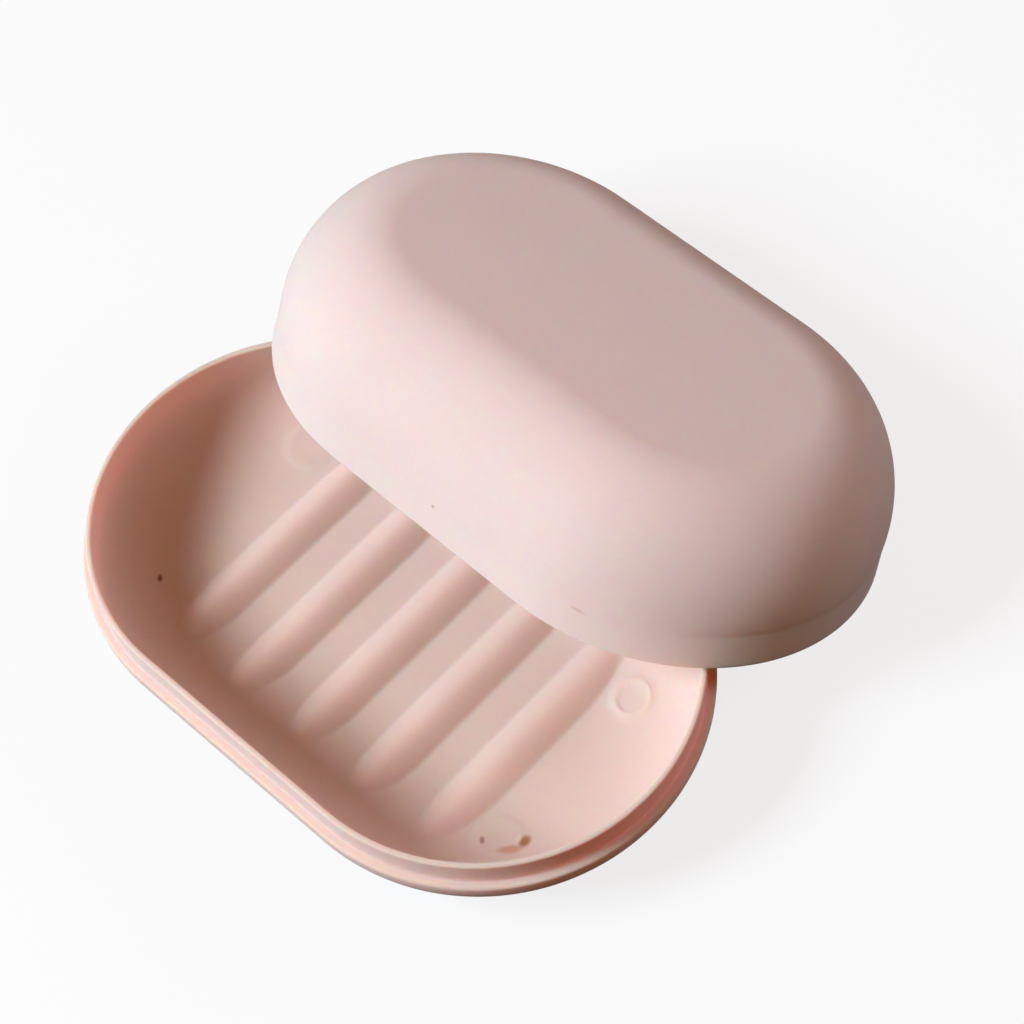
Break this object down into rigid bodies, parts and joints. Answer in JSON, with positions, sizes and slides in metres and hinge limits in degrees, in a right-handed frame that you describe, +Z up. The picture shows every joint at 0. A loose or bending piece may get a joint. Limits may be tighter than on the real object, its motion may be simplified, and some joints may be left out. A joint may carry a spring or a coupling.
{
  "type": "travel soap box",
  "caption": "Pink plastic soap box with rounded ends: a ribbed tray with a thin lip, and a deep domed lid that lifts off and leans on it.",
  "frame": {"origin": "on the table, under the middle of the box round the tray and the leaning lid", "axes": "+X along the case's length, +Y from the tray towards the lid, +Z up from the table"},
  "size_m": [0.118, 0.1232, 0.0478],
  "materials": {
    "tray_plastic": "satin moulded polypropylene, pale pink, slightly translucent",
    "lid_plastic": "satin moulded polypropylene, pale pink, slightly translucent"
  },
  "bodies": {
    "tray": {"tray": "tray_plastic"},
    "lid": {"lid": "lid_plastic"}
  },
  "joints": [
    {"name": "lid_lift", "type": "slide", "parent": "tray", "child": "lid", "axis": [0, 0, 1], "range_m": [0, 0.06]}
  ]
}
